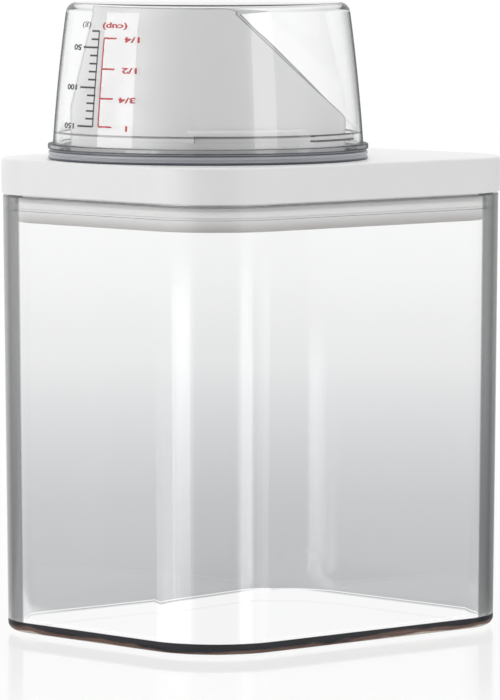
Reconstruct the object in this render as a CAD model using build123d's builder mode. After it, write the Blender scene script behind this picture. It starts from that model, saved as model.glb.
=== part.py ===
from build123d import *
import math
import os

# A clear storage jar with a white push-in lid, a slanting pouring spout in the lid,
# and a measuring cup that stands upside down over the spout as its cap.
# Millimetres, +Z up, origin at the centre of the footprint. X runs along the jar's longer side.

# Jar, its outline taken at the shoulder under the lid
jar_length = 125.2
jar_depth = 102.7
jar_height = 125.1
jar_corner = 24.1
jar_draft_angle = 0.55
jar_wall = 3.8
jar_floor = 2.6
jar_bottom_radius = 2.2
jar_inner_radius = 2.6
foot_inset = 3.9
foot_width = 2.6
foot_height = 0.7
land_depth = 4.0
land_step = 0.7
rim_radius = 0.4

# Lid
lid_overhang = 0.4
lid_gap = 0.5
lid_height = 10.1
lid_plate = 2.2
lid_skirt = 1.6
lid_edge_radius = 0.8
lid_lower_radius = 0.3
plug_wall = 2.0
plug_reach = 7.4
plug_radius = 0.5
boss_wall = 2.0
boss_depth = 5.0

# Seal ring round the lid's plug
seal_drop = 0.5
seal_height = 3.0
seal_groove = 0.8
seal_radius = 0.6

# Pouring spout, centred towards the jar's -X end
spout_offset = 16.75
spigot_radius = 38.5
neck_radius = 39.1
neck_wall = 2.0
neck_height = 14.6
spout_wall = 1.6
lip_radius = 32.25
bead_height = 1.2
bead_rise = 0.5

# The slanting mouth falls away from the lip towards this heading in plan, in degrees
mouth_heading = -42.6
mouth_angle = 44.2
mouth_start = 6.8
mouth_lip_radius = 6.5
mouth_toe_radius = 8.0
mouth_toe_margin = 0.6

# Bayonet ridges on the neck, two of them half a turn apart
ridge_base = 8.0
ridge_height = 1.6
ridge_rise = 2.7
ridge_slope = 0.6
ridge_arc = 49.0
ridge_heading = 219.4
stop_arc = 3.0
bayonet_count = 2

# Measuring cup, standing upside down on its rim
cup_height = 44.3
cup_wall = 1.5
cup_end_wall = 1.0
cup_end_inset = 4.15
cup_bulge = 0.35
cup_round = 2.6
flange_reach = 1.4
flange_base = 2.85
flange_height = 1.5
flange_edge_radius = 0.3
cup_foot_wall = 1.1
lug_height = 1.9
lug_reach = 2.0
lug_arc = 27.0
lug_heading = 271.6

# Ring under the cup's flange, stepped in at the top and grooved round its outside
ring_width = 1.4
ring_step = 0.7
ring_step_height = 0.45
ring_groove_radius = 0.4
ring_edge_radius = 0.5

# Clearances
rest_gap = 0.05
fit_gap = 0.05
neck_gap = 0.25
plug_gap = 0.5
seal_gap = 0.25
turn_gap = 0.3
ridge_gap = 0.8
lip_gap = 0.4
# How far an added body runs into what carries it, and a cut runs past what it cuts
bite = 0.2
overrun = 5.0

# Levels
shoulder_level = jar_height
ledge_level = shoulder_level - land_depth
floor_level = foot_height + jar_floor
lid_bottom = shoulder_level + lid_gap
lid_top = lid_bottom + lid_height
lid_underside = lid_top - lid_plate
rim_level = lid_underside - rest_gap
plug_bottom = shoulder_level - plug_reach
seal_top = shoulder_level - seal_drop
seal_bottom = seal_top - seal_height
boss_bottom = lid_underside - boss_depth
bead_top = boss_bottom - rest_gap
spigot_bottom = bead_top - bead_height
cone_level = lid_top + neck_height
ridge_level = lid_top + ridge_base
lug_level = ridge_level - turn_gap - lug_height
flange_level = lid_top + flange_base
cup_foot_level = lid_top + turn_gap
cup_end_level = lid_top + cup_height
inner_end_level = cup_end_level - cup_end_wall
lip_level = inner_end_level - lip_gap
ring_top = flange_level - rest_gap
ring_step_level = ring_top - ring_step_height

# Insets of each outline from the jar's outline at the shoulder
draft_slope = math.tan(math.radians(jar_draft_angle))
base_inset = (shoulder_level - foot_height) * draft_slope
neck_inset = lid_skirt - lid_overhang + neck_gap
land_inset = jar_wall - land_step
plug_inset = jar_wall + plug_reach * draft_slope + plug_gap
seal_inset = land_inset + seal_gap
groove_inset = plug_inset + seal_groove
channel_inset = lid_skirt - lid_overhang

# Radii about the axis that the spout, its neck and the cup share
hole_radius = spigot_radius + fit_gap
bore_radius = neck_radius - neck_wall
boss_radius = hole_radius + boss_wall
ridge_radius = neck_radius + ridge_rise
cup_inner_radius = ridge_radius + ridge_gap
cup_shoulder_radius = cup_inner_radius + cup_wall
cup_end_radius = cup_shoulder_radius - cup_end_inset
cup_foot_radius = cup_inner_radius + cup_foot_wall
flange_radius = cup_shoulder_radius + flange_reach
lug_radius = cup_inner_radius - lug_reach
ring_inner_radius = cup_foot_radius + turn_gap
ring_radius = ring_inner_radius + ring_width

cup_centre = (-spout_offset, 0, 0)
cup_axis = Axis(cup_centre, (0, 0, 1))


def jar_outline(inset, mode=Mode.ADD):
    return RectangleRounded(jar_length - 2 * inset, jar_depth - 2 * inset, jar_corner - inset, mode=mode)


def level_plane(level):
    return Plane(origin=(-spout_offset, 0, level))


def upright_plane(heading):
    # Stands on the cup's axis, local X pointing out at this heading and local Y up
    angle = math.radians(heading)
    outward = (math.cos(angle), math.sin(angle), 0)
    across = (math.sin(angle), -math.cos(angle), 0)
    return Plane(origin=cup_centre, x_dir=outward, z_dir=across)


# Jar: drafted walls on a foot ring, a land for the seal and a thin neck inside the lid's skirt
with BuildPart() as jar:
    with BuildSketch(Plane.XY.offset(shoulder_level)):
        jar_outline(0)
    extrude(amount=foot_height - shoulder_level, taper=jar_draft_angle)
    fillet(jar.faces().sort_by(Axis.Z)[0].edges(), jar_bottom_radius)
    with BuildSketch(Plane.XY.offset(shoulder_level - bite)):
        jar_outline(neck_inset)
    extrude(amount=rim_level - shoulder_level + bite)
    with BuildSketch(Plane.XY):
        jar_outline(base_inset + foot_inset)
        jar_outline(base_inset + foot_inset + foot_width, Mode.SUBTRACT)
    extrude(amount=foot_height + bite)
    with BuildSketch(Plane.XY.offset(rim_level)):
        jar_outline(land_inset)
    extrude(amount=ledge_level - rim_level, mode=Mode.SUBTRACT)

# The hollow is made by itself, so that its floor can be rounded before it is cut away
with BuildPart() as hollow:
    with BuildSketch(Plane.XY.offset(shoulder_level)):
        jar_outline(jar_wall)
    extrude(amount=floor_level - shoulder_level, taper=jar_draft_angle)
    fillet(hollow.faces().sort_by(Axis.Z)[0].edges(), jar_inner_radius)

with jar:
    add(hollow.part, mode=Mode.SUBTRACT)
    fillet(jar.faces().sort_by(Axis.Z)[-1].edges(), rim_radius)

# Lid: a plate, a skirt outside the jar's neck, a grooved plug inside it and a boss round the hole
with BuildPart() as lid:
    with BuildSketch(Plane.XY.offset(lid_bottom)):
        jar_outline(-lid_overhang)
    extrude(amount=lid_height)
    fillet(lid.faces().sort_by(Axis.Z)[-1].edges(), lid_edge_radius)
    fillet(lid.faces().sort_by(Axis.Z)[0].edges(), lid_lower_radius)
    with BuildSketch(Plane.XY.offset(lid_bottom)):
        jar_outline(channel_inset)
    extrude(amount=lid_underside - lid_bottom, mode=Mode.SUBTRACT)
    with BuildSketch(Plane.XY.offset(plug_bottom)):
        jar_outline(plug_inset)
        jar_outline(plug_inset + plug_wall, Mode.SUBTRACT)
    extrude(amount=lid_underside + bite - plug_bottom)
    fillet(lid.faces().sort_by(Axis.Z)[0].edges(), plug_radius)
    with BuildSketch(Plane.XY.offset(seal_bottom)):
        jar_outline(plug_inset - bite)
        jar_outline(groove_inset, Mode.SUBTRACT)
    extrude(amount=seal_height, mode=Mode.SUBTRACT)
    with BuildSketch(level_plane(boss_bottom)):
        Circle(boss_radius)
    extrude(amount=boss_depth + bite)
    with BuildSketch(level_plane(boss_bottom)):
        Circle(hole_radius)
    extrude(amount=lid_top - boss_bottom + overrun, mode=Mode.SUBTRACT)

# Seal ring in the plug's groove, its lip facing the jar's land
with BuildPart() as lid_seal:
    with BuildSketch(Plane.XY.offset(seal_bottom)):
        jar_outline(seal_inset)
    extrude(amount=seal_height)
    fillet(lid_seal.faces().sort_by(Axis.Z)[-1].edges(), seal_radius)
    fillet(lid_seal.faces().sort_by(Axis.Z)[0].edges(), seal_radius)
    with BuildSketch(Plane.XY.offset(seal_bottom)):
        jar_outline(groove_inset - fit_gap)
    extrude(amount=seal_height, mode=Mode.SUBTRACT)

# Spout: turned about the cup's axis, then cut to its slanting mouth
with BuildPart() as spout:
    with BuildSketch(upright_plane(mouth_heading)):
        with BuildLine():
            Polyline(
                (bore_radius, spigot_bottom),
                (spigot_radius, spigot_bottom),
                (spigot_radius + bead_rise, bead_top),
                (spigot_radius, bead_top),
                (spigot_radius, lid_top + rest_gap),
                (neck_radius, lid_top + rest_gap),
                (neck_radius, cone_level),
                (lip_radius, lip_level),
                (lip_radius - spout_wall, lip_level),
                (bore_radius, cone_level),
                close=True,
            )
        make_face()
    revolve(axis=cup_axis)
    slope = math.tan(math.radians(mouth_angle))
    toe_reach = neck_radius + mouth_toe_margin
    toe_level = lip_level - (toe_reach - mouth_start) * slope
    with BuildSketch(upright_plane(mouth_heading)) as mouth_side:
        with BuildLine():
            Polyline(
                (-neck_radius - overrun, spigot_bottom - overrun),
                (-neck_radius - overrun, lip_level),
                (mouth_start, lip_level),
                (toe_reach, toe_level),
                (toe_reach, spigot_bottom - overrun),
                close=True,
            )
        make_face()
        fillet(mouth_side.vertices().group_by(Axis.Y)[-1].sort_by(Axis.X)[-1], mouth_lip_radius)
        fillet(mouth_side.vertices().group_by(Axis.X)[-1].sort_by(Axis.Y)[-1], mouth_toe_radius)
    extrude(amount=neck_radius + overrun, both=True, mode=Mode.INTERSECT)
    for turn in range(bayonet_count):
        heading = ridge_heading + turn * 360 / bayonet_count
        with BuildSketch(upright_plane(heading)):
            with BuildLine():
                Polyline(
                    (neck_radius - bite, ridge_level),
                    (ridge_radius, ridge_level),
                    (ridge_radius, ridge_level + ridge_height - ridge_slope),
                    (neck_radius - bite, ridge_level + ridge_height),
                    close=True,
                )
            make_face()
        revolve(axis=cup_axis, revolution_arc=ridge_arc)
        with BuildSketch(upright_plane(heading)):
            with BuildLine():
                Polyline(
                    (neck_radius - bite, lug_level),
                    (ridge_radius, lug_level),
                    (ridge_radius, ridge_level + bite),
                    (neck_radius - bite, ridge_level + bite),
                    close=True,
                )
            make_face()
        revolve(axis=cup_axis, revolution_arc=stop_arc)

# Measuring cup: a bulging cone with a closed end, a flange round its rim and two lugs inside it
flange_top = flange_level + flange_height
cup_middle_level = (flange_top + cup_end_level) / 2
cup_middle_radius = (cup_shoulder_radius + cup_end_radius) / 2 + cup_bulge
inner_end_radius = cup_end_radius - cup_wall
with BuildPart() as measuring_cup:
    with BuildSketch(upright_plane(0)) as cup_side:
        with BuildLine():
            Line((0, cup_end_level), (cup_end_radius, cup_end_level))
            ThreePointArc(
                (cup_end_radius, cup_end_level),
                (cup_middle_radius, cup_middle_level),
                (cup_shoulder_radius, flange_top),
            )
            Polyline(
                (cup_shoulder_radius, flange_top),
                (flange_radius, flange_top),
                (flange_radius, flange_level),
                (cup_foot_radius, flange_level),
                (cup_foot_radius, cup_foot_level),
                (cup_inner_radius, cup_foot_level),
                (cup_inner_radius, flange_top),
            )
            ThreePointArc(
                (cup_inner_radius, flange_top),
                (cup_middle_radius - cup_wall, cup_middle_level),
                (inner_end_radius, inner_end_level),
            )
            Polyline((inner_end_radius, inner_end_level), (0, inner_end_level), (0, cup_end_level))
        make_face()
        end_corners = cup_side.vertices().filter_by(lambda corner: corner.X > inner_end_radius - bite)
        fillet(end_corners.sort_by(Axis.Y)[-1], cup_round)
        fillet(end_corners.sort_by(Axis.Y)[-2], cup_round - cup_wall)
        fillet(cup_side.vertices().sort_by(Axis.X)[-2:], flange_edge_radius)
    revolve(axis=cup_axis)
    for turn in range(bayonet_count):
        with BuildSketch(upright_plane(lug_heading + turn * 360 / bayonet_count)):
            with BuildLine():
                Polyline(
                    (cup_inner_radius + bite, lug_level),
                    (lug_radius, lug_level),
                    (lug_radius, lug_level + lug_height),
                    (cup_inner_radius + bite, lug_level + lug_height),
                    close=True,
                )
            make_face()
        revolve(axis=cup_axis, revolution_arc=lug_arc)

# Ring that the cup stands on, round its foot and under its flange
with BuildPart() as cup_ring:
    with BuildSketch(upright_plane(0)) as ring_side:
        with BuildLine():
            Polyline(
                (ring_inner_radius, lid_top + rest_gap),
                (ring_radius, lid_top + rest_gap),
                (ring_radius, ring_step_level),
                (ring_radius - ring_step, ring_step_level),
                (ring_radius - ring_step, ring_top),
                (ring_inner_radius, ring_top),
                close=True,
            )
        make_face()
        fillet(ring_side.vertices().sort_by(Axis.X)[-2:], ring_edge_radius)
        with Locations((ring_radius, (lid_top + rest_gap + ring_step_level) / 2)):
            Circle(ring_groove_radius, mode=Mode.SUBTRACT)
    revolve(axis=cup_axis)

jar.part.label = "jar"
lid.part.label = "lid"
lid_seal.part.label = "lid_seal"
spout.part.label = "spout"
measuring_cup.part.label = "measuring_cup"
cup_ring.part.label = "cup_ring"

os.makedirs("parts", exist_ok=True)
export_step(jar.part, "parts/jar.step")
export_step(lid.part, "parts/lid.step")
export_step(lid_seal.part, "parts/lid_seal.step")
export_step(spout.part, "parts/spout.step")
export_step(measuring_cup.part, "parts/measuring_cup.step")
export_step(cup_ring.part, "parts/cup_ring.step")
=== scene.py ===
import math

import bmesh
import bpy
from mathutils import Matrix, Vector
from mathutils.bvhtree import BVHTree


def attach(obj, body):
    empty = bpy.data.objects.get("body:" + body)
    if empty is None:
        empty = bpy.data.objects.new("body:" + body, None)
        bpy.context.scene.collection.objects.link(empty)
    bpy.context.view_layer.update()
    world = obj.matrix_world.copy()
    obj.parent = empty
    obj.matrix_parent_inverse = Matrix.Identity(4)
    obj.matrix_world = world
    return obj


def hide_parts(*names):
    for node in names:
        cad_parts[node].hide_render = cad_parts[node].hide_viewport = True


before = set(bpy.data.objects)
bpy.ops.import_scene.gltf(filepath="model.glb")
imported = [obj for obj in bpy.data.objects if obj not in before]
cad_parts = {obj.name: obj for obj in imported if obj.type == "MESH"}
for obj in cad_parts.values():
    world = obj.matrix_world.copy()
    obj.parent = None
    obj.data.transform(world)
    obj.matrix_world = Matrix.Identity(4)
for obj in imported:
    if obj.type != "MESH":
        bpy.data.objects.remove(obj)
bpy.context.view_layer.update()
mm = 0.001
print("frame loaded")

# What several pieces share, in millimetres and degrees
shared = {
    "shoulder": 125.1,       # where the jar's wall ends under the lid
    "lidTop": 135.7,
    "lidUnderside": 133.5,
    "length": 125.2,         # plan outline at the shoulder
    "depth": 102.7,
    "corner": 24.1,
    "cupX": -16.75,          # axis of the spout and the cup
    "viewHeading": 227.4,    # from the object towards the camera, in plan
    "softAngle": 28,         # edges sharper than this stay crisp
    "cornerSteps": 32,       # in the quarter turn of a rounded corner
    "roundSteps": 192,       # in a full turn
    "weld": 0.005,           # points closer than this become one
}
cupAxis = Vector((shared["cupX"] * mm, 0, 0))


# Shapes

def addWire(bm, points, closed=False):
    # points are (distance out, height) in mm, drawn in the plane y = 0
    verts = [bm.verts.new((x * mm, 0, z * mm)) for x, z in points]
    pairs = list(zip(verts, verts[1:]))
    if closed:
        pairs.append((verts[-1], verts[0]))
    return verts, [bm.edges.new(pair) for pair in pairs]


def roundVerts(bm, verts, radius, segments):
    # rounds corners of a wire; offset of a corner bevel is the radius at a right angle
    bmesh.ops.bevel(bm, geom=verts, offset=radius * mm, offset_type="OFFSET", affect="VERTICES",
                    segments=segments, profile=0.5, material=-1)


def roundedWire(bm, corners, closed=False, segments=5):
    # corners are (distance out, height, radius); radius 0 leaves the corner sharp
    verts, edges = addWire(bm, [(x, z) for x, z, radius in corners], closed)
    for vert, (x, z, radius) in zip(verts, corners):
        if radius:
            roundVerts(bm, [vert], radius, segments)
    return list(bm.edges)


def spinAround(bm, geometry, centre, angle, steps):
    return bmesh.ops.spin(bm, geom=geometry, cent=centre, axis=(0, 0, 1), angle=math.radians(angle),
                          steps=steps, use_merge=abs(angle) == 360)


def cornerAxis():
    # where the axis of the first rounded corner stands in plan
    return [(shared[side] / 2 - shared["corner"]) * mm for side in ("length", "depth")]


def sweepRoundOblong(bm, edges, steps):
    # the wire starts at the +X side; its distance out is counted from a corner's own axis
    halfX, halfY = cornerAxis()
    corners = [Vector((halfX, halfY, 0)), Vector((-halfX, halfY, 0)),
               Vector((-halfX, -halfY, 0)), Vector((halfX, -halfY, 0))]
    verts = {vert for edge in edges for vert in edge.verts}
    bmesh.ops.translate(bm, verts=list(verts), vec=corners[0])
    for corner, following in zip(corners, corners[1:] + corners[:1]):
        verts = {vert for edge in edges for vert in edge.verts}
        turned = spinAround(bm, list(verts) + edges, corner, 90, steps)["geom_last"]
        edges = [item for item in turned if isinstance(item, bmesh.types.BMEdge)]
        grown = bmesh.ops.extrude_edge_only(bm, edges=edges)["geom"]
        newVerts = {item for item in grown if isinstance(item, bmesh.types.BMVert)}
        bmesh.ops.translate(bm, verts=list(newVerts), vec=following - corner)
        newEdges = [item for item in grown if isinstance(item, bmesh.types.BMEdge)]
        edges = [edge for edge in newEdges if set(edge.verts) <= newVerts]
    bmesh.ops.remove_doubles(bm, verts=bm.verts, dist=shared["weld"] * mm)


def openLoops(bm):
    # boundary edges, grouped into separate loops
    loops, left = [], {edge for edge in bm.edges if edge.is_boundary}
    while left:
        loop, waiting = set(), [next(iter(left))]
        while waiting:
            edge = waiting.pop()
            if edge in left:
                left.discard(edge)
                loop.add(edge)
                waiting += [other for vert in edge.verts for other in vert.link_edges if other in left]
        loops.append(list(loop))
    return loops


def loopLevel(loop):
    return sum(vert.co.z for edge in loop for vert in edge.verts) / len(loop) / 2


def finishPiece(bm, name, body):
    bmesh.ops.recalc_face_normals(bm, faces=bm.faces)
    for face in bm.faces:
        face.smooth = True
    mesh = bpy.data.meshes.new(name)
    bm.to_mesh(mesh)
    bm.free()
    mesh.set_sharp_from_angle(angle=math.radians(shared["softAngle"]))
    piece = bpy.data.objects.new(name, mesh)
    bpy.context.scene.collection.objects.link(piece)
    weighted = piece.modifiers.new("WeightedNormal", "WEIGHTED_NORMAL")
    weighted.keep_sharp = True
    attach(piece, body)
    print(name, "has", len(mesh.polygons), "faces")
    return piece


def unite(bm, others):
    # joins separate closed shells into one skin
    def asObject(shell, name):
        mesh = bpy.data.meshes.new(name)
        shell.to_mesh(mesh)
        shell.free()
        made = bpy.data.objects.new(name, mesh)
        bpy.context.scene.collection.objects.link(made)
        return made
    base = asObject(bm, "base")
    tools = [asObject(other, "tool") for other in others]
    for tool in tools:
        step = base.modifiers.new("Unite", "BOOLEAN")
        step.operation = "UNION"
        step.solver = "EXACT"
        step.object = tool
    evaluated = base.evaluated_get(bpy.context.evaluated_depsgraph_get())
    joined = bmesh.new()
    joined.from_mesh(evaluated.to_mesh())
    for made in [base] + tools:
        bpy.data.objects.remove(made)
    return joined


def partRing(corners, startHeading, arc, steps):
    # a closed section spun through part of a turn about the cup's axis
    bm = bmesh.new()
    verts, edges = addWire(bm, corners, closed=True)
    bm.faces.new(verts)
    bmesh.ops.translate(bm, verts=bm.verts, vec=cupAxis)
    turn = Matrix.Rotation(math.radians(startHeading), 3, "Z")
    bmesh.ops.rotate(bm, verts=bm.verts, cent=cupAxis, matrix=turn)
    spinAround(bm, bm.verts[:] + bm.edges[:] + bm.faces[:], cupAxis, arc, steps)
    bmesh.ops.recalc_face_normals(bm, faces=bm.faces)
    return bm


def addCopy(bm, other):
    # puts a loose shell into bm as it stands
    holder = bpy.data.meshes.new("holder")
    other.to_mesh(holder)
    other.free()
    bm.from_mesh(holder)
    bpy.data.meshes.remove(holder)


# Materials

class Wire:
    # an output socket that can be used in sums
    def __init__(self, finish, socket):
        self.finish = finish
        self.socket = socket

    def maths(self, operation, first, second):
        return self.finish.node("ShaderNodeMath", {"operation": operation}, {0: first, 1: second})

    def __add__(self, other):
        return self.maths("ADD", self, other)

    def __radd__(self, other):
        return self.maths("ADD", other, self)

    def __sub__(self, other):
        return self.maths("SUBTRACT", self, other)

    def __rsub__(self, other):
        return self.maths("SUBTRACT", other, self)

    def __mul__(self, other):
        return self.maths("MULTIPLY", self, other)

    def __rmul__(self, other):
        return self.maths("MULTIPLY", other, self)

    def __truediv__(self, other):
        return self.maths("DIVIDE", self, other)

    def __rtruediv__(self, other):
        return self.maths("DIVIDE", other, self)

    def __pow__(self, other):
        return self.maths("POWER", self, other)

    def __rpow__(self, other):
        return self.maths("POWER", other, self)

    def larger(self, other):
        return self.maths("MAXIMUM", self, other)

    def smaller(self, other):
        return self.maths("MINIMUM", self, other)

    def ramp(self, low, high, start=0.0, end=1.0, kind="SMOOTHSTEP"):
        # runs from start to end while this value goes from low to high
        return self.finish.node("ShaderNodeMapRange", {"interpolation_type": kind}, {
            "Value": self, "From Min": low, "From Max": high, "To Min": start, "To Max": end})

    def within(self, low, high, soft):
        # 1 while this value lies between low and high
        return self.ramp(low - soft, low + soft) * self.ramp(high - soft, high + soft, 1.0, 0.0)

    def vector(self, operation, other=None, output=0):
        sockets = {0: self} if other is None else {0: self, 1: other}
        return self.finish.node("ShaderNodeVectorMath", {"operation": operation}, sockets, output)

    def part(self, axis):
        return self.finish.node("ShaderNodeSeparateXYZ", None, {0: self}, axis)


class Finish:
    # one node material, or the world's own nodes
    def __init__(self, name, tree=None):
        if tree is None:
            self.material = bpy.data.materials.new(name)
            self.material.use_nodes = True
            tree = self.material.node_tree
        self.tree = tree
        self.tree.nodes.clear()

    def node(self, kind, settings=None, sockets=None, output=0):
        made = self.tree.nodes.new(kind)
        for key, value in (settings or {}).items():
            if key == "stops":
                ramp = made.color_ramp
                while len(ramp.elements) < len(value):
                    ramp.elements.new(0.5)
                for element, (place, colour) in zip(ramp.elements, value):
                    element.position = place
                    element.color = colour
            else:
                setattr(made, key, value)
        for key, value in (sockets or {}).items():
            if isinstance(value, Wire):
                self.tree.links.new(value.socket, made.inputs[key])
            else:
                made.inputs[key].default_value = value
        return Wire(self, made.outputs[output]) if made.outputs else made

    def ray(self, kind):
        # 1 for rays of that kind
        return self.node("ShaderNodeLightPath", output="Is " + kind + " Ray")

    def noise(self, place, scale, detail):
        return self.node("ShaderNodeTexNoise", None, {"Vector": place, "Scale": scale, "Detail": detail})

    def bump(self, height, strength, depth):
        return self.node("ShaderNodeBump", None, {
            "Height": height, "Strength": strength, "Distance": depth * mm})

    def mix(self, share, first, second):
        # a colour that goes from first to second
        return self.node("ShaderNodeMix", {"data_type": "RGBA"}, {"Factor": share, 6: first, 7: second}, 2)

    def mixShaders(self, share, first, second):
        return self.node("ShaderNodeMixShader", None, {0: share, 1: first, 2: second})

    def surface(self, shader):
        self.node("ShaderNodeOutputMaterial", None, {"Surface": shader})
        return self.material


def objectPlace(finish):
    return finish.node("ShaderNodeTexCoord", output="Object")


def turnedAway(finish, sockets=None):
    # 0 where a surface faces the eye, 1 where it is seen edge on
    return finish.node("ShaderNodeLayerWeight", None, {"Blend": 0.5, **(sockets or {})}, "Facing")


def turnedSideways(finish):
    # the same for an upright wall, left or right, whatever height it is seen from
    upright = finish.node("ShaderNodeCombineXYZ", None, {"Z": 1.0})
    steep = 1.0 - turnedAway(finish, {"Normal": upright})
    return 1.0 - (1.0 - turnedAway(finish)) / (1.0 - steep * steep) ** 0.5


# What both clear plastics share, in mm; spans run from low to high, soft pairs are for height and reach
clearLooks = {
    "ior": 1.49, "roughSpan": (0.0, 0.03), "hazeSpan": (0.35, 0.75), "hazeDetail": 4,
    "swellDetail": 1, "swellDepth": 1.0,
    # painted shade: the line settings are for the painted dark lines
    "lineSoft": (0.08, 0.1), "unseenSoft": (0.05, 0.05), "floorSoft": 0.1, "lineRough": 0.4, "lineIor": 1.12,
    # painted highlights: the streak and glint settings place the glints on the painted dark lines
    "streakStretch": (1, 1, 5), "streakScale": 50, "streakDetail": 2, "streakShare": 3.0, "streakFade": 0.7,
    "glintSpan": (1.5, 2.1), "sparkSpan": (1.7, 2.1),
    "gone": (0.98, 0.98, 0.98, 1), "shadow": (0.97, 0.97, 0.97, 1),
}


def skinBand(height, away, edges, soft):
    # 1 between two heights and two distances out
    low, high, near, far = (edge * mm for edge in edges)
    return height.within(low, high, soft[0] * mm) * away.within(near, far, soft[1] * mm)


def oblongReach(place):
    # distance out in plan, counted from the axes of the jar's corners, and 1 on the outer skin
    beyond = place.vector("MULTIPLY", (1, 1, 0)).vector("ABSOLUTE").vector("SUBTRACT", (*cornerAxis(), 0))
    away = beyond.vector("MAXIMUM", (0, 0, 0)).vector("LENGTH", output="Value")
    return away, away.ramp(*(edge * mm for edge in jarLooks["skin"]))


def roundReach(place):
    # distance out from the cup's axis, and 1 on its tapering side; the edge of its closed end counts for less
    s = cupSizes
    soft = cupLooks["skinSoft"] * mm
    height = place.part("Z")
    flat = place.vector("SUBTRACT", tuple(cupAxis)).vector("MULTIPLY", (1, 1, 0))
    away = flat.vector("LENGTH", output="Value")
    taper = (s["shoulder"] - s["endRadius"]) / (s["end"] - s["flangeTop"])
    middle = (s["shoulder"] - s["wall"] / 2) * mm + (height - s["flangeTop"] * mm) * -taper
    edge = (s["end"] - s["round"]) * mm
    side = (away - middle).ramp(-soft, soft) * height.ramp(edge - soft, edge, 1.0, 0.0)
    end = away.ramp(*(reach * mm for reach in cupLooks["endSkin"])) * height.ramp(edge - soft, edge)
    return away, side.larger(end * cupLooks["endShare"])


def clearPlastic(name, looks, reach):
    # reach gives a place's distance out and whether it lies on the outer skin
    s = clearLooks
    finish = Finish(name)
    place = objectPlace(finish)
    height = place.part("Z")
    away, outer = reach(place)
    inside = finish.node("ShaderNodeNewGeometry", output="Backfacing")
    seen = outer * (1.0 - inside)
    facing = turnedSideways(finish)
    # clear, with painted shade: grey bands where the outer wall turns away
    haze = finish.noise(place, looks["hazeScale"], s["hazeDetail"])
    swell = finish.noise(place, looks["swellScale"], s["swellDetail"])
    edge = finish.node("ShaderNodeValToRGB", {"stops": looks["edgeShadeStops"]}, {"Fac": facing})
    glass = finish.node("ShaderNodeBsdfPrincipled", None, {
        "Base Color": finish.mix(seen, looks["clear"], edge), "IOR": s["ior"], "Transmission Weight": 1.0,
        "Roughness": haze.ramp(*s["hazeSpan"], *s["roughSpan"]),
        "Normal": finish.bump(swell, looks["swell"], s["swellDepth"])})
    # painted shade: dark lines round the outline, and where a moulded edge hides what lies behind
    start, stop, strength = looks["outline"]
    dark = facing.ramp(start, stop, 0.0, strength) * seen
    for *edges, strength, both in looks["lines"]:
        shadeLine = skinBand(height, away, edges, s["lineSoft"]) * strength
        dark = dark.larger(shadeLine if both else shadeLine * (1.0 - inside))
    # painted highlights: stretched noise and height place copper glints and cream sparks on the painted dark
    # lines
    stretched = place.vector("MULTIPLY", s["streakStretch"])
    glintStreaks = finish.noise(stretched, s["streakScale"], s["streakDetail"]) * s["streakShare"]
    fade = s["streakFade"] / mm
    glint = (glintStreaks + (looks["glintLevel"] * mm - height) * fade).ramp(*s["glintSpan"])
    spark = (glintStreaks + (looks["sparkLevel"] * mm - height) * fade).ramp(*s["sparkSpan"])
    tone = finish.mix(spark, finish.mix(glint, looks["shadeLine"], looks["lineGlint"]), looks["lineSpark"])
    # painted shade: the finish of the painted dark lines
    rim = finish.node("ShaderNodeBsdfPrincipled", None, {
        "Base Color": tone, "Roughness": s["lineRough"], "IOR": s["lineIor"]})
    # the floor, and its rounded edge from inside the wall, hide nothing of what the part stands on
    floor, floorEdge = (level * mm for level in looks["floorLevels"])
    soft = s["floorSoft"] * mm
    gone = (1.0 - outer) * height.ramp(floor, floor + soft, 1.0, 0.0)
    gone = gone.larger(inside * height.ramp(floorEdge, floorEdge + soft, 1.0, 0.0))
    for edges in looks["unseen"]:
        gone = gone.larger(skinBand(height, away, edges, s["unseenSoft"]))
    nothing = finish.node("ShaderNodeBsdfTransparent", None, {"Color": s["gone"]})
    shadow = finish.node("ShaderNodeBsdfTransparent", None, {"Color": s["shadow"]})
    shell = finish.mixShaders(dark, finish.mixShaders(gone, glass, nothing), rim)
    unlit = finish.ray("Shadow").larger(finish.ray("Diffuse"))
    return finish.surface(finish.mixShaders(unlit, shell, shadow))


def mouthShade(finish, place, looks, mouth):
    # painted shade: dark along the mouth's rim and where the spout turns away
    # mouth lists the planes whose inner side is the spout
    depths = []
    for reach, level, tilt in mouth:
        outward = mouthOutward() * math.sin(tilt) + Vector((0, 0, math.cos(tilt)))
        edge = cupAxis + mouthOutward() * reach * mm + Vector((0, 0, level * mm))
        depths.append(edge.dot(outward) - place.vector("DOT_PRODUCT", tuple(outward), "Value"))
    depth = depths[0]
    for other in depths[1:]:
        depth = depth.smaller(other)
    start, stop = (edge * mm for edge in looks["mouthSpan"])
    rim = depth.ramp(start, stop, looks["mouthShare"], 0.0)
    return rim.larger(turnedAway(finish).ramp(*looks["outlineSpan"], 0.0, looks["outlineShare"]))


def whitePlastic(name, looks, mouth=()):
    finish = Finish(name)
    place = objectPlace(finish)
    mottle = finish.noise(place, looks["mottleScale"], looks["mottleDetail"])
    # painted shade: darker towards the bottom of the plug
    low, high = (level * mm for level in looks["shadeLevels"])
    shaded = place.part("Z").ramp(low, high, 1.0, 0.0)
    colour = finish.mix(shaded, finish.mix(mottle, looks["colour"], looks["shade"]), looks["lowShade"])
    # painted shade along the spout's mouth and outline
    if mouth:
        colour = finish.mix(mouthShade(finish, place, looks, mouth), colour, looks["mouthLine"])
    grain = finish.noise(place, looks["grainScale"], looks["grainDetail"])
    sheen = grain.ramp(*looks["grainSpan"], *looks["roughSpan"], "LINEAR")
    return finish.surface(finish.node("ShaderNodeBsdfPrincipled", None, {
        "Base Color": colour, "Roughness": sheen, "IOR": looks["ior"],
        "Normal": finish.bump(grain, looks["grain"], looks["grainDepth"])}))


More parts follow.
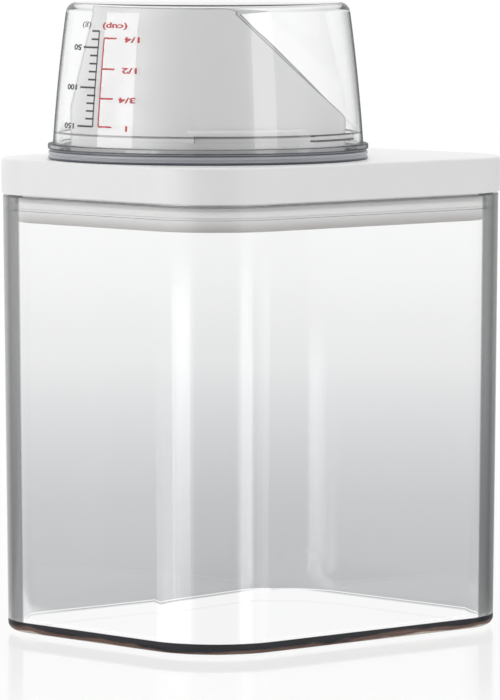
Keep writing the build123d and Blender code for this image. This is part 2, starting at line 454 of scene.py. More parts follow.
def softRubber(name, looks):
    finish = Finish(name)
    place = objectPlace(finish)
    cloud = finish.noise(place, looks["cloudScale"], looks["cloudDetail"])
    colour = finish.mix(cloud, looks["colour"], looks["shade"])
    # painted shade: darker bands at the listed heights
    for low, high in looks["paintedShadeLevels"]:
        level = place.part("Z").within(low * mm, high * mm, looks["darkSoft"] * mm)
        colour = finish.mix(level, colour, looks["dark"])
    return finish.surface(finish.node("ShaderNodeBsdfPrincipled", None, {
        "Base Color": colour, "Roughness": looks["rough"], "IOR": looks["ior"],
        "Transmission Weight": looks["clear"],
        "Normal": finish.bump(cloud, looks["bloom"], looks["bloomDepth"])}))


def printedInk(name, colour):
    s = scaleLooks
    finish = Finish(name)
    screen = finish.noise(objectPlace(finish), s["screenScale"], s["screenDetail"])
    paler = tuple(channel * s["paler"] + s["lift"] for channel in colour[:3]) + (1,)
    return finish.surface(finish.node("ShaderNodeBsdfPrincipled", None, {
        "Base Color": finish.mix(screen, colour, paler), "Roughness": s["rough"]}))


# Jar

jarSizes = {
    "foot": 0.7, "floor": 3.3, "draft": 0.55, "wall": 3.8,
    "bottomRadius": 2.2, "innerRadius": 0.6, "edgeRadius": 0.15,
    "footInset": 3.9, "footWidth": 2.6, "footRadius": 0.25, "footFillet": 0.3,
    "landDepth": 4.0, "landStep": 0.7, "neckInset": 1.45, "rim": 133.45, "rimRadius": 0.4,
    "underReach": 4, "floorReach": 6,    # how far in the underside and the floor run before they are filled
    "segments": 6,
}
# painted shade: the edge stops darken the wall where it turns away, and the lines are painted dark lines
# edge stops go by how far the wall turns away; lines hold heights from and to, distances out from and to,
# strength, and whether they show from inside the plastic too; unseen places have the first four
jarLooks = {
    "hazeScale": 30, "swellScale": 14, "swell": 0.04,
    "clear": (0.985, 0.987, 0.988, 1), "skin": (21.2, 21.8),
    "edgeShadeStops": [(0.0, (0.985, 0.987, 0.988, 1)), (0.405, (0.985, 0.987, 0.988, 1)),
                  (0.43, (0.12, 0.123, 0.125, 1)), (0.56, (0.07, 0.072, 0.074, 1)),
                  (0.65, (0.02, 0.021, 0.022, 1)), (0.73, (0.07, 0.072, 0.074, 1)),
                  (1.0, (0.07, 0.072, 0.075, 1))],
    # painted shade and highlights: a darker outline, near-black lines, and their copper glints and cream
    # sparks low down
    "outline": (0.9, 1.0, 0.3), "shadeLine": (0.01, 0.011, 0.016, 1), "lineGlint": (0.17, 0.1, 0.08, 1),
    "lineSpark": (0.6, 0.52, 0.45, 1), "glintLevel": 2.6, "sparkLevel": 1.5,
    # painted shade: a dark line along the foot, a shadow line under the lid and a dark line at the inner
    # ledge
    "lines": [(1.0, 3.95, 20.2, 26.0, 0.97, False), (124.75, 125.2, 22.0, 26.0, 0.3, False),
              (121.0, 121.2, 19.0, 21.2, 0.3, True)],
    "floorLevels": (3.45, 4.2), "unseen": [],
}


def makeJar():
    s = jarSizes
    corner, top = shared["corner"], shared["shoulder"]
    slope = math.tan(math.radians(s["draft"]))
    base = corner - (top - s["foot"]) * slope
    foot = base - s["footInset"]
    inner = corner - s["wall"]
    land = inner + s["landStep"]
    ledge = top - s["landDepth"]
    neck = corner - s["neckInset"]
    floorEdge = inner - (top - s["floor"]) * slope
    bm = bmesh.new()
    edges = roundedWire(bm, [
        (foot - s["footWidth"] - s["underReach"], s["foot"], 0),
        (foot - s["footWidth"], s["foot"], s["footFillet"]),
        (foot - s["footWidth"], 0, s["footRadius"]),
        (foot, 0, s["footRadius"]),
        (foot, s["foot"], s["footFillet"]),
        (base, s["foot"], s["bottomRadius"]),
        (corner, top, s["edgeRadius"]),
        (neck, top, 0),
        (neck, s["rim"], s["rimRadius"]),
        (land, s["rim"], s["rimRadius"]),
        (land, ledge, 0),
        (inner - (top - ledge) * slope, ledge, s["edgeRadius"]),
        (floorEdge, s["floor"], s["innerRadius"]),
        (floorEdge - s["floorReach"], s["floor"], 0),
    ], segments=s["segments"])
    sweepRoundOblong(bm, edges, shared["cornerSteps"])
    for loop in openLoops(bm):
        bmesh.ops.edgeloop_fill(bm, edges=loop)
    jar = finishPiece(bm, "clear_jar", "jar_body")
    jar.data.materials.append(clearPlastic("clearJarPlastic", jarLooks, oblongReach))
    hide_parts("jar")


makeJar()


# Lid and its seal

lidSizes = {
    "bottom": 125.6, "overhang": 0.4, "skirt": 1.2, "edgeRadius": 0.8, "lowerRadius": 0.3, "skirtRadius": 0.2,
    "plugInset": 4.371, "plugWall": 2.0, "plugBottom": 117.7, "plugRadius": 0.5,
    "grooveTop": 124.6, "grooveBottom": 121.6, "groove": 0.8, "grooveRadius": 0.15,
    "hole": 38.55, "holeSteps": 160, "bossWall": 2.0, "bossBottom": 128.5, "bossStep": 0.03, "bossRoot": 0.4,
    "flat": 3.0, "levelSlack": 0.1,
}
sealSizes = {
    "outset": 3.35, "inset": 5.12, "radius": 0.3, "top": 124.55, "bottom": 121.65,
    "lip": 0.35, "lipReach": 0.7, "lipRadius": 0.25, "backRadius": 0.1, "cornerSteps": 24, "segments": 3,
}
lidLooks = {
    "colour": (0.91, 0.91, 0.912, 1), "shade": (0.885, 0.885, 0.888, 1), "mottleScale": 25, "mottleDetail": 3,
    "grainScale": 2600, "grainDetail": 2, "grain": 0.12, "grainDepth": 0.2, "grainSpan": (0.3, 0.7),
    "roughSpan": (0.32, 0.4), "ior": 1.46,
    # painted shade: the plug darkens towards its bottom
    "shadeLevels": (117.2, 121.6), "lowShade": (0.5, 0.48, 0.46, 1),
    # painted shade: a dark line along the spout's mouth and outline
    "mouthLine": (0.2, 0.2, 0.22, 1), "mouthSpan": (0.15, 0.4), "mouthShare": 0.75,
    "outlineSpan": (0.8, 0.93), "outlineShare": 0.6,
}
sealLooks = {
    "colour": (0.95, 0.95, 0.94, 1), "shade": (0.93, 0.93, 0.92, 1), "cloudScale": 60, "cloudDetail": 3,
    "rough": 0.5, "ior": 1.41, "clear": 0.0, "bloom": 0.1, "bloomDepth": 0.2, "paintedShadeLevels": [],
}


def makeLid():
    s = lidSizes
    corner, top, under = shared["corner"], shared["lidTop"], shared["lidUnderside"]
    plug = corner - s["plugInset"]
    outer = corner + s["overhang"]
    bm = bmesh.new()
    edges = roundedWire(bm, [
        (corner - s["flat"], top, 0),
        (outer, top, s["edgeRadius"]),
        (outer, s["bottom"], s["lowerRadius"]),
        (corner - s["skirt"], s["bottom"], s["skirtRadius"]),
        (corner - s["skirt"], under, 0),
        (plug, under, 0),
        (plug, s["grooveTop"], s["grooveRadius"]),
        (plug - s["groove"], s["grooveTop"], 0),
        (plug - s["groove"], s["grooveBottom"], 0),
        (plug, s["grooveBottom"], s["grooveRadius"]),
        (plug, s["plugBottom"], s["plugRadius"]),
        (plug - s["plugWall"], s["plugBottom"], s["plugRadius"]),
        (plug - s["plugWall"], under, 0),
    ])
    sweepRoundOblong(bm, edges, shared["cornerSteps"])
    wall = bmesh.new()
    verts, edges = addWire(wall, [(s["hole"], top), (s["hole"], under)])
    bmesh.ops.translate(wall, verts=wall.verts, vec=cupAxis)
    spinAround(wall, verts + edges, cupAxis, 360, s["holeSteps"])
    addCopy(bm, wall)
    loops = openLoops(bm)
    slack = s["levelSlack"] * mm
    for level in (top, under):
        flat = [edge for loop in loops if abs(loopLevel(loop) - level * mm) < slack for edge in loop]
        bmesh.ops.triangle_fill(bm, use_beauty=True, use_dissolve=False, edges=flat)
    bmesh.ops.recalc_face_normals(bm, faces=bm.faces)
    bossInner, bossOuter = s["hole"] + s["bossStep"], s["hole"] + s["bossWall"]
    bossTop = under + s["bossRoot"]
    boss = partRing([(bossInner, s["bossBottom"]), (bossOuter, s["bossBottom"]),
                     (bossOuter, bossTop), (bossInner, bossTop)], 0, 360, s["holeSteps"])
    lid = finishPiece(unite(bm, [boss]), "push_in_lid", "lid_body")
    lid.data.materials.append(whitePlastic("whiteLidPlastic", lidLooks))
    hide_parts("lid")


def makeSeal():
    s = sealSizes
    back, tip = shared["corner"] - s["inset"], shared["corner"] - s["outset"]
    middle = (s["top"] + s["bottom"]) / 2
    bm = bmesh.new()
    edges = roundedWire(bm, [
        (back, s["bottom"], s["backRadius"]),
        (tip - s["lipReach"], s["bottom"], s["radius"]),
        (tip, middle - s["lip"], s["lipRadius"]),
        (tip, middle + s["lip"], s["lipRadius"]),
        (tip - s["lipReach"], s["top"], s["radius"]),
        (back, s["top"], s["backRadius"]),
    ], closed=True, segments=s["segments"])
    sweepRoundOblong(bm, edges, s["cornerSteps"])
    seal = finishPiece(bm, "lid_seal_ring", "lid_body")
    seal.data.materials.append(softRubber("siliconeSeal", sealLooks))
    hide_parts("lid_seal")


makeLid()
makeSeal()


# Spout

spoutSizes = {
    "bottom": 127.25, "bead": 128.45, "beadRise": 0.5, "spigot": 38.5,
    "seatGap": 0.05, "seatRadius": 0.25, "seatSegments": 3,
    "neck": 39.1, "neckWall": 2.0, "cone": 150.3, "top": 178.6, "lip": 32.25, "wall": 1.6,
    "mouthHeading": -42.6, "mouthAngle": 44.2, "mouthStart": 6.8, "lipRadius": 6.5, "toeRadius": 8.0,
    "toeReach": 39.7, "roundCuts": 6, "cutSlack": 0.0005,
    "ridgeHeading": 219.4, "ridgeArc": 49, "ridgeSteps": 26, "ridge": 143.7, "ridgeHeight": 1.6,
    "ridgeOut": 41.8, "ridgeSlope": 0.6, "ridgeRoot": 0.3,
    "stopArc": 3, "stopSteps": 2, "stopBottom": 141.5, "stopOverlap": 0.2,
}


def mouthCuts():
    # (reach, height, tilt) of planes tangent to the mouth's rounded outline, lip to toe, in mm and radians
    s = spoutSizes
    angle = math.radians(s["mouthAngle"])
    toeHeight = s["top"] - (s["toeReach"] - s["mouthStart"]) * math.tan(angle)
    lipSpan = s["lipRadius"] * math.tan(angle / 2)
    toeSpan = s["toeRadius"] * math.tan((math.pi / 2 - angle) / 2)
    cuts = []
    for step in range(s["roundCuts"] + 1):
        tilt = angle * step / s["roundCuts"]
        cuts.append((s["mouthStart"] - lipSpan + s["lipRadius"] * math.sin(tilt),
                     s["top"] - s["lipRadius"] + s["lipRadius"] * math.cos(tilt), tilt))
    for step in range(1, s["roundCuts"] + 1):
        tilt = angle + (math.pi / 2 - angle) * step / (s["roundCuts"] + 1)
        cuts.append((s["toeReach"] - s["toeRadius"] + s["toeRadius"] * math.sin(tilt),
                     toeHeight - toeSpan + s["toeRadius"] * math.cos(tilt), tilt))
    return cuts


def mouthOutward():
    heading = math.radians(spoutSizes["mouthHeading"])
    return Vector((math.cos(heading), math.sin(heading), 0))


def makeSpout():
    s = spoutSizes
    seat = shared["lidTop"] + s["seatGap"]
    bm = bmesh.new()
    verts, edges = addWire(bm, [
        (s["neck"] - s["neckWall"], s["bottom"]),
        (s["spigot"], s["bottom"]),
        (s["spigot"] + s["beadRise"], s["bead"]),
        (s["spigot"], s["bead"]),
        (s["spigot"], seat),
        (s["neck"], seat),
        (s["neck"], s["cone"]),
        (s["lip"], s["top"]),
        (s["lip"] - s["wall"], s["top"]),
        (s["neck"] - s["neckWall"], s["cone"]),
    ], closed=True)
    roundVerts(bm, [verts[5]], s["seatRadius"], s["seatSegments"])
    bmesh.ops.translate(bm, verts=bm.verts, vec=cupAxis)
    spinAround(bm, bm.verts[:] + bm.edges[:], cupAxis, 360, shared["roundSteps"])
    bmesh.ops.recalc_face_normals(bm, faces=bm.faces)
    outward = mouthOutward()
    for reach, height, tilt in mouthCuts()[1:]:
        point = cupAxis + outward * reach * mm + Vector((0, 0, height * mm))
        normal = outward * math.sin(tilt) + Vector((0, 0, math.cos(tilt)))
        bmesh.ops.bisect_plane(bm, geom=bm.verts[:] + bm.edges[:] + bm.faces[:], dist=s["cutSlack"] * mm,
                               plane_co=point, plane_no=normal, clear_outer=True)
        bmesh.ops.holes_fill(bm, edges=[edge for edge in bm.edges if edge.is_boundary], sides=0)
    root = s["neck"] - s["ridgeRoot"]
    ridgeTop, stopTop = s["ridge"] + s["ridgeHeight"], s["ridge"] + s["stopOverlap"]
    for turn in (0, 180):
        start = s["ridgeHeading"] + turn
        addCopy(bm, partRing([(root, s["ridge"]), (s["ridgeOut"], s["ridge"]),
                              (s["ridgeOut"], ridgeTop - s["ridgeSlope"]), (root, ridgeTop)],
                             start, s["ridgeArc"], s["ridgeSteps"]))
        addCopy(bm, partRing([(root, s["stopBottom"]), (s["ridgeOut"], s["stopBottom"]),
                              (s["ridgeOut"], stopTop), (root, stopTop)],
                             start, s["stopArc"], s["stopSteps"]))
    spout = finishPiece(bm, "pouring_spout", "lid_body")
    spout.data.materials.append(whitePlastic("whiteSpoutPlastic", lidLooks, mouthCuts()))
    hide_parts("spout")


makeSpout()


# Measuring cup, upside down over the spout, and the ring under its flange

cupSizes = {
    "foot": 136.0, "flange": 138.55, "flangeTop": 140.05, "end": 180.0, "endWall": 1.0, "wall": 1.5,
    "shoulder": 44.1, "endRadius": 39.95, "bulge": 0.35, "round": 2.6, "flangeOut": 45.5,
    "footWall": 1.1, "footRadius": 0.2, "footFillet": 0.15, "flangeRound": 0.3,
    "sideRows": 12, "segments": 6, "weld": 0.002,
    "lugHeading": 271.6, "lugArc": 27, "lugSteps": 14, "lugLevel": 141.5, "lugHeight": 1.9, "lugReach": 2.0,
    "lugRoot": 0.4,
}
cupLooks = {
    "hazeScale": 40, "swellScale": 20, "swell": 0.03,
    "clear": (0.995, 0.997, 0.997, 1), "skinSoft": 0.1, "endSkin": (37.4, 37.8), "endShare": 0.5,
    # painted shade: grey where the cup's wall turns away
    "edgeShadeStops": [(0.0, (0.99, 0.992, 0.992, 1)), (0.62, (0.99, 0.992, 0.992, 1)),
                  (0.78, (0.85, 0.88, 0.9, 1)), (0.9, (0.4, 0.43, 0.46, 1)), (1.0, (0.3, 0.33, 0.36, 1))],
    # painted shade: a darker outline, and dark lines that are a little lighter below the glint level
    "outline": (0.74, 0.9, 0.93), "shadeLine": (0.05, 0.055, 0.065, 1), "lineGlint": (0.1, 0.11, 0.13, 1),
    "lineSpark": (0.1, 0.11, 0.13, 1), "glintLevel": 139.0, "sparkLevel": 0.0,
    # painted shade: dark lines at the flange's edges, over the flange and round the lugs
    "lines": [(138.5, 139.0, 43.9, 46.0, 0.85, True), (139.95, 140.45, 44.6, 46.0, 0.85, True),
              (138.85, 140.1, 44.6, 46.0, 0.34, True), (141.35, 141.95, 40.4, 42.4, 0.85, True),
              (142.95, 143.55, 40.4, 42.4, 0.85, True)],
    "floorLevels": (0.0, 0.0), "unseen": [(141.4, 143.5, 40.4, 42.35)],
}
ringSizes = {
    "inner": 44.0, "outer": 45.4, "bottom": 135.75, "top": 138.5, "step": 0.7, "stepHeight": 0.45,
    "groove": 0.4, "grooveRound": 0.24, "grooveEdge": 0.06, "round": 0.5, "stepRound": 0.12, "edgeRound": 0.1,
    "segments": 4,
}
ringLooks = {
    "colour": (0.55, 0.56, 0.6, 1), "shade": (0.48, 0.49, 0.53, 1), "cloudScale": 80, "cloudDetail": 3,
    "rough": 0.3, "ior": 1.41, "clear": 0.2, "bloom": 0.1, "bloomDepth": 0.2,
    # painted shade: a dark line where the ring meets the flange, and a contact shadow along its bottom
    "paintedShadeLevels": [(137.95, 138.4), (135.6, 136.4)], "dark": (0.13, 0.14, 0.17, 1), "darkSoft": 0.12,
}


def sideRadius(height):
    # outer radius of the cup's bulging side: a straight taper plus a shallow bow
    s = cupSizes
    share = (height - s["flangeTop"]) / (s["end"] - s["flangeTop"])
    return s["shoulder"] + (s["endRadius"] - s["shoulder"]) * share + s["bulge"] * 4 * share * (1 - share)


def makeCup():
    s = cupSizes
    innerEnd = s["end"] - s["endWall"]
    bore = s["shoulder"] - s["wall"]
    foot = bore + s["footWall"]
    side = s["end"] - s["flangeTop"]
    rows = [s["flangeTop"] + side * row / s["sideRows"] for row in range(1, s["sideRows"] - 1)]
    bm = bmesh.new()
    roundedWire(bm, [
        (0, innerEnd, 0),
        (s["endRadius"] - s["wall"], innerEnd, s["round"] - s["wall"]),
    ] + [(sideRadius(z) - s["wall"], z, 0) for z in reversed(rows)] + [
        (bore, s["flangeTop"], 0),
        (bore, s["foot"], s["footRadius"]),
        (foot, s["foot"], s["footRadius"]),
        (foot, s["flange"], s["footFillet"]),
        (s["flangeOut"], s["flange"], s["flangeRound"]),
        (s["flangeOut"], s["flangeTop"], s["flangeRound"]),
        (s["shoulder"], s["flangeTop"], s["flangeRound"]),
    ] + [(sideRadius(z), z, 0) for z in rows] + [
        (s["endRadius"], s["end"], s["round"]),
        (0, s["end"], 0),
    ], segments=s["segments"])
    bmesh.ops.translate(bm, verts=bm.verts, vec=cupAxis)
    spinAround(bm, bm.verts[:] + bm.edges[:], cupAxis, 360, shared["roundSteps"])
    bmesh.ops.remove_doubles(bm, verts=bm.verts, dist=s["weld"] * mm)
    bmesh.ops.recalc_face_normals(bm, faces=bm.faces)
    tip, root, lugTop = bore - s["lugReach"], bore + s["lugRoot"], s["lugLevel"] + s["lugHeight"]
    lugs = [partRing([(tip, s["lugLevel"]), (root, s["lugLevel"]), (root, lugTop), (tip, lugTop)],
                     s["lugHeading"] + turn, s["lugArc"], s["lugSteps"]) for turn in (0, 180)]
    joined = unite(bm, lugs)
    skin = BVHTree.FromBMesh(joined)
    cup = finishPiece(joined, "measuring_cup_shell", "cup_body")
    cup.data.materials.append(clearPlastic("clearCupPlastic", cupLooks, roundReach))
    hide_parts("measuring_cup")
    return skin


def makeRing():
    s = ringSizes
    shelf = s["top"] - s["stepHeight"]
    middle = (s["bottom"] + shelf) / 2
    bm = bmesh.new()
    roundedWire(bm, [
        (s["inner"], s["bottom"], s["edgeRound"]),
        (s["outer"], s["bottom"], s["round"]),
        (s["outer"], middle - s["groove"], s["grooveEdge"]),
        (s["outer"] - s["groove"], middle, s["grooveRound"]),
        (s["outer"], middle + s["groove"], s["grooveEdge"]),
        (s["outer"], shelf, s["round"]),
        (s["outer"] - s["step"], shelf, s["stepRound"]),
        (s["outer"] - s["step"], s["top"], s["edgeRound"]),
        (s["inner"], s["top"], s["edgeRound"]),
    ], closed=True, segments=s["segments"])
    bmesh.ops.translate(bm, verts=bm.verts, vec=cupAxis)
    spinAround(bm, bm.verts[:] + bm.edges[:], cupAxis, 360, shared["roundSteps"])
    ring = finishPiece(bm, "cup_rim_ring", "ring_body")
    ring.data.materials.append(softRubber("frostedRing", ringLooks))
    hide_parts("cup_ring")


cupShape = makeCup()
makeRing()


# Printed scales on the cup: heights in mm above the lid, sideways in degrees from the view line, left is less

scaleSizes = {
    "fullMark": 10.2, "stroke": 0.5, "wideStroke": 1, "linePieces": 14, "tickPieces": 3,
    "gramFull": 150, "gramMark": 10, "gramLabel": 50, "gramMarks": 13, "gramStep": 2.13, "gramGrowth": 0.007,
    "gramLine": -47.2, "shortTick": 4.4, "longTick": 9.2, "gramHeader": (-8.7, 38.2),
    "cupMarks": ("1", "3/4", "1/2", "1/4"), "cupStep": 7.7, "cupGrowth": 0.17,
    "cupLine": -44.2, "cupTick": 6.5, "cupPieces": 12, "cupHeader": (4.9, 38.1),
    "cupLabelAside": (6.7, 6.5, 7.3, 7.8), "cupLabelDrop": 0.25, "gramLabelAside": 1.6, "digitAside": 1.5,
    "digit": 2.15, "stretch": 2.1, "bold": 0.03, "curveSteps": 3,
    "lift": 0.03, "ink": 0.03, "castFrom": 60,
}
scaleLooks = {
    "black": (0.012, 0.012, 0.016, 1), "red": (0.5, 0.008, 0.014, 1),
    "screenScale": 1800, "screenDetail": 1, "paler": 0.95, "lift": 0.02, "rough": 0.45,
}


def ontoCup(bm, name, material):
    # x is degrees from the view line and y mm above the lid; both are laid on the cup's outer skin
    s = scaleSizes
    for vert in bm.verts:
        heading = math.radians(shared["viewHeading"] + vert.co.x)
        outward = Vector((math.cos(heading), math.sin(heading), 0))
        start = cupAxis + outward * s["castFrom"] * mm + Vector((0, 0, (shared["lidTop"] + vert.co.y) * mm))
        spot, normal, index, distance = cupShape.ray_cast(start, -outward)
        vert.co = spot + normal * s["lift"] * mm
    bmesh.ops.recalc_face_normals(bm, faces=bm.faces)
    bmesh.ops.solidify(bm, geom=bm.faces[:], thickness=s["ink"] * mm)
    printed = finishPiece(bm, name, "cup_body")
    printed.modifiers.clear()
    printed.data.materials.append(material)


def addStroke(bm, left, right, low, high, pieces):
    # a thin printed bar, cut into short pieces along its length so that it follows the curve
    across = right - left > scaleSizes["wideStroke"]
    for part in range(pieces):
        start, end = part / pieces, (part + 1) / pieces
        if across:
            edges = (left + (right - left) * start, left + (right - left) * end, low, high)
        else:
            edges = (left, right, low + (high - low) * start, low + (high - low) * end)
        grid = bmesh.ops.create_grid(bm, x_segments=1, y_segments=1, size=0.5)["verts"]
        bmesh.ops.scale(bm, verts=grid, vec=(edges[1] - edges[0], edges[3] - edges[2], 1))
        bmesh.ops.translate(bm, verts=grid, vec=((edges[0] + edges[1]) / 2, (edges[2] + edges[3]) / 2, 0))


def addUpright(bm, heading, low, high, pieces):
    half = scaleSizes["stroke"] * math.degrees(1 / cupSizes["shoulder"]) / 2
    addStroke(bm, heading - half, heading + half, low, high, pieces)


def addTick(bm, left, right, height):
    half = scaleSizes["stroke"] / 2
    addStroke(bm, left, right, height - half, height + half, scaleSizes["tickPieces"])


def addWords(bm, words, heading, height, bold=True):
    # the cup hangs upside down, so its words are turned over
    curve = bpy.data.curves.new("words", "FONT")
    curve.body = words
    curve.size = scaleSizes["digit"]
    curve.align_x = "CENTER"
    curve.align_y = "CENTER"
    curve.resolution_u = scaleSizes["curveSteps"]
    if bold:
        curve.offset = scaleSizes["bold"] * curve.size
    holder = bpy.data.objects.new("words", curve)
    mesh = bpy.data.meshes.new_from_object(holder)
    flat = bmesh.new()
    flat.from_mesh(mesh)
    degreesPerMm = math.degrees(1 / sideRadius(shared["lidTop"] + height))
    bmesh.ops.scale(flat, verts=flat.verts, vec=(-degreesPerMm * scaleSizes["stretch"], -1, 1))
    bmesh.ops.translate(flat, verts=flat.verts, vec=(heading, height, 0))
    addCopy(bm, flat)
    bpy.data.meshes.remove(mesh)
    bpy.data.objects.remove(holder)
    bpy.data.curves.remove(curve)


def markHeight(mark, step, growth):
    # marks lie a little further apart towards the narrow end
    return scaleSizes["fullMark"] + step * mark + growth * mark ** 2


def makeGramScale():
    s = scaleSizes
    grams = bmesh.new()
    heights = [markHeight(mark, s["gramStep"], s["gramGrowth"]) for mark in range(s["gramMarks"])]
    addUpright(grams, s["gramLine"], heights[0], heights[-1], s["linePieces"])
    for mark, height in enumerate(heights):
        amount = s["gramFull"] - s["gramMark"] * mark
        labelled = amount % s["gramLabel"] == 0
        left = s["gramLine"] - (s["longTick"] if labelled else s["shortTick"])
        addTick(grams, left, s["gramLine"], height)
        if labelled:
            words = str(amount)
            addWords(grams, words, left - s["gramLabelAside"] - s["digitAside"] * len(words), height)
    aside, height = s["gramHeader"]
    addWords(grams, "(g)", s["gramLine"] + aside, height, bold=False)
    ontoCup(grams, "cup_scale_grams", printedInk("blackInk", scaleLooks["black"]))


def makeCupScale():
    s = scaleSizes
    cups = bmesh.new()
    heights = [markHeight(quarter, s["cupStep"], s["cupGrowth"]) for quarter in range(len(s["cupMarks"]))]
    addUpright(cups, s["cupLine"], heights[0], heights[-1], s["cupPieces"])
    right = s["cupLine"] + s["cupTick"]
    for words, height, aside in zip(s["cupMarks"], heights, s["cupLabelAside"]):
        addTick(cups, s["cupLine"], right, height)
        addWords(cups, words, right + aside, height - s["cupLabelDrop"])
    aside, height = s["cupHeader"]
    addWords(cups, "(cup)", s["cupLine"] + aside, height)
    ontoCup(cups, "cup_scale_parts", printedInk("redInk", scaleLooks["red"]))


makeGramScale()
makeCupScale()


# Camera: focal length and image height in pixels, its place in mm, angles in degrees

cameraSizes = {
    "focal": 6000, "imageHeight": 700, "sensor": 36, "clip": 100,
    "distance": 1715, "height": 216, "aside": -0.43, "yaw": 42.6, "pitch": 4.53,
}


def makeCamera():
    s = cameraSizes
    yaw, pitch = math.radians(s["yaw"]), math.radians(s["pitch"])
    view = Vector((math.sin(yaw) * math.cos(pitch), math.cos(yaw) * math.cos(pitch), -math.sin(pitch)))
    data = bpy.data.cameras.new("camera")
    data.sensor_width = s["sensor"]
    data.lens = s["focal"] / s["imageHeight"] * data.sensor_width
    data.clip_end = s["clip"]
    camera = bpy.data.objects.new("camera", data)
    bpy.context.scene.collection.objects.link(camera)
    camera.location = (-s["distance"] * math.sin(yaw) * mm + s["aside"] * math.cos(yaw) * mm,
                       -s["distance"] * math.cos(yaw) * mm - s["aside"] * math.sin(yaw) * mm,
                       s["height"] * mm)
    camera.rotation_mode = "QUATERNION"
    camera.rotation_quaternion = view.to_track_quat("-Z", "Y")
    bpy.context.scene.camera = camera


makeCamera()


# Studio: headings in degrees right of the camera as the object sees it, sizes in metres

studio = {
    "white": (1, 1, 1, 1), "ambient": 0.565,
    # what polished surfaces see: the walls, and the painted reflection tones the table glows with
    "wallTones": [(-180, 1.0), (-52, 1.0), (-32, 0.4), (-20, 0.15), (31, 0.15), (36, 1.0),
                  (75, 1.0), (92, 0.75), (110, 0.65), (160, 0.65), (172, 1.0)],
    "tableReflectionTones": [(-180, 1.0), (-38, 1.0), (-24, 0.75), (27, 0.75), (35, 1.0),
                   (104, 1.0), (116, 0.2), (160, 0.2), (172, 1.0)],
    "tableShine": 0.6, "tableRough": 0.17,
    # painted reflection: how much of that the jar's far walls mirror forward
    "forwardShare": [(-180, 0.0), (-130, 0.0), (-120, 0.6), (120, 0.6), (130, 0.0)],
    # the table itself, and how white and how mirroring it looks from close by to far off
    "tableRadius": 12.0, "tableSides": 96, "tableColour": (0.9, 0.9, 0.9, 1),
    "whiteSpan": (0.12, 0.6), "whiteShare": (0.84, 1.0),
    "mirrorSpan": (0.09, 0.26), "mirrorShare": (0.15, 0.0), "mirrorRough": 0.06,
    # painted shade and glow: seen through the jar it darkens towards its foot, and glows white under its
    # floor
    "throughSpan": (0.06, 3.0),
    "throughShadeStops": [(0.0, (0.47, 0.475, 0.49, 1)), (0.1, (0.555, 0.56, 0.575, 1)),
                     (0.3, (0.825, 0.825, 0.83, 1)), (0.5, (0.93, 0.93, 0.93, 1)), (0.8, (1, 1, 1, 1))],
    "underJar": (0.075, 0.065), "underSoft": (0.97, 1.03),
}


def around(place, stops):
    # grey tone by heading
    finish = place.finish
    turned = finish.node("ShaderNodeMapping", None, {
        "Vector": place, "Rotation": (0, 0, -math.radians(shared["viewHeading"]))})
    heading = finish.node("ShaderNodeTexGradient", {"gradient_type": "RADIAL"}, {"Vector": turned}, "Fac")
    greys = [(0.5 + angle / 360, (tone, tone, tone, 1)) for angle, tone in stops]
    return finish.node("ShaderNodeValToRGB", {"stops": greys}, {"Fac": heading})


def makeWorld():
    s = studio
    world = bpy.data.worlds.new("studio")
    world.use_nodes = True
    bpy.context.scene.world = world
    finish = Finish("studio", world.node_tree)
    ambient = finish.node("ShaderNodeBackground", None, {"Color": s["white"], "Strength": s["ambient"]})
    backdrop = finish.node("ShaderNodeBackground", None, {"Color": s["white"], "Strength": 1.0})
    tones = around(finish.node("ShaderNodeTexCoord", output="Generated"), s["wallTones"])
    walls = finish.node("ShaderNodeBackground", None, {"Color": tones, "Strength": 1.0})
    looked = finish.ray("Camera").larger(finish.ray("Transmission"))
    lit = finish.mixShaders(finish.ray("Glossy"), finish.mixShaders(looked, ambient, backdrop), walls)
    finish.node("ShaderNodeOutputWorld", None, {"Surface": lit})


def glow(finish, colour):
    # shows a colour as it is
    return finish.node("ShaderNodeEmission", None, {"Color": colour, "Strength": 1.0})


def polished(finish, rough):
    return finish.node("ShaderNodeBsdfGlossy", None, {"Color": studio["white"], "Roughness": rough})


def tableFinish():
    s = studio
    finish = Finish("tableWhite")
    place = objectPlace(finish)
    away = place.vector("LENGTH", output="Value")
    plain = finish.node("ShaderNodeBsdfDiffuse", None, {"Color": s["tableColour"]})
    # straight from the camera
    white = away.ramp(*s["whiteSpan"], *s["whiteShare"])
    mirror = away.ramp(*s["mirrorSpan"], *s["mirrorShare"])
    seen = finish.mixShaders(mirror, finish.mixShaders(white, plain, glow(finish, s["white"])),
                             polished(finish, s["mirrorRough"]))
    # painted reflection: in polished surfaces the table glows in grey tones by heading
    pale = glow(finish, around(place, s["tableReflectionTones"]))
    shiny = finish.mixShaders(s["tableShine"], pale, polished(finish, s["tableRough"]))
    # painted shade and glow: the table as seen through the jar
    halfX, halfY = s["underJar"]
    scaled = place.vector("MULTIPLY", (1 / halfX, 1 / halfY, 0)).vector("ABSOLUTE")
    outside = scaled.part("X").larger(scaled.part("Y")).ramp(*s["underSoft"])
    tone = finish.node("ShaderNodeValToRGB", {"stops": s["throughShadeStops"]},
                       {"Fac": away.ramp(*s["throughSpan"], kind="LINEAR")})
    ground = glow(finish, finish.mix(outside, s["white"], tone))
    behind = finish.mixShaders(around(place, s["forwardShare"]) * outside, ground, shiny)
    other = finish.mixShaders(finish.ray("Glossy"), plain, shiny)
    other = finish.mixShaders(finish.ray("Transmission"), other, behind)
    return finish.surface(finish.mixShaders(finish.ray("Camera"), other, seen))


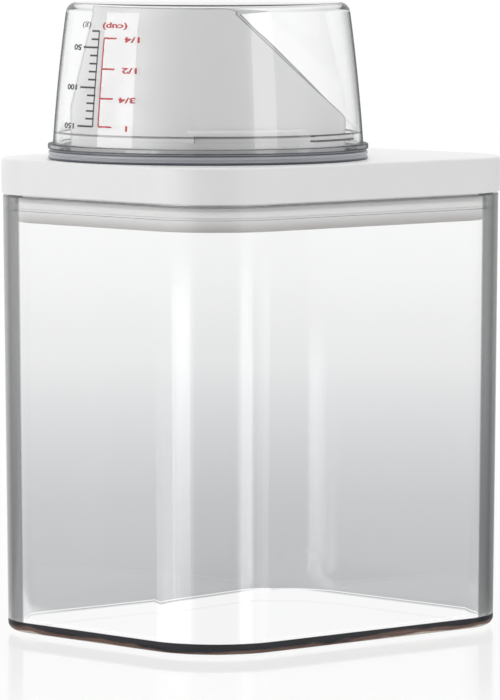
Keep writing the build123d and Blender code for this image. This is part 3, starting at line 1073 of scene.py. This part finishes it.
def makeTable():
    bm = bmesh.new()
    bmesh.ops.create_circle(bm, cap_ends=True, radius=studio["tableRadius"], segments=studio["tableSides"])
    mesh = bpy.data.meshes.new("table")
    bm.to_mesh(mesh)
    bm.free()
    table = bpy.data.objects.new("table", mesh)
    bpy.context.scene.collection.objects.link(table)
    table.data.materials.append(tableFinish())


# place is heading, distance from the middle of the table and height; size is width and height; a lamp points
# level at the middle unless it has an aim, the height above the middle that it points at
lamps = {
    "leftFill": {"place": (-80, 1.6, 0.36), "size": (1.2, 0.7), "power": 4.8},
    "rightFill": {"place": (72, 1.6, 0.36), "size": (1.2, 0.7), "power": 2.1},
    "topFill": {"place": (180, 0.25, 1.7), "size": (1.6, 1.6), "power": 12.3, "aim": 0.1},
}
# these show only in reflections
strips = {
    "leftStrip": {"place": (-47.5, 1.6, 0.135), "size": (0.74, 0.19), "power": 2.45},
    "rightStrip": {"place": (41, 1.6, 0.135), "size": (0.42, 0.19), "power": 0.86},
    "rightEdge": {"place": (71, 1.6, 0.135), "size": (0.28, 0.19), "power": 0.43},
    "leftSheen": {"place": (-73, 1.6, 0.46), "size": (0.9, 0.6), "power": 7.3},
    "rightSheen": {"place": (43, 1.6, 0.46), "size": (0.5, 0.6), "power": 2.1},
}


def makeLamp(name, s, reflectedOnly):
    angle, away, height = s["place"]
    heading = math.radians(shared["viewHeading"] + angle)
    x, y = away * math.cos(heading), away * math.sin(heading)
    data = bpy.data.lights.new(name, "AREA")
    data.shape = "RECTANGLE"
    data.size, data.size_y = s["size"]
    data.energy = s["power"]
    lamp = bpy.data.objects.new(name, data)
    bpy.context.scene.collection.objects.link(lamp)
    lamp.visible_camera = False
    lamp.visible_transmission = False
    lamp.visible_glossy = reflectedOnly
    lamp.visible_diffuse = not reflectedOnly
    lamp.location = (x, y, height)
    lamp.rotation_mode = "QUATERNION"
    lamp.rotation_quaternion = Vector((-x, -y, s.get("aim", height) - height)).to_track_quat("-Z", "Y")


makeWorld()
makeTable()
for name, sizes in lamps.items():
    makeLamp(name, sizes, False)
for name, sizes in strips.items():
    makeLamp(name, sizes, True)
bpy.context.scene.view_settings.view_transform = "Standard"
print("studio ready")
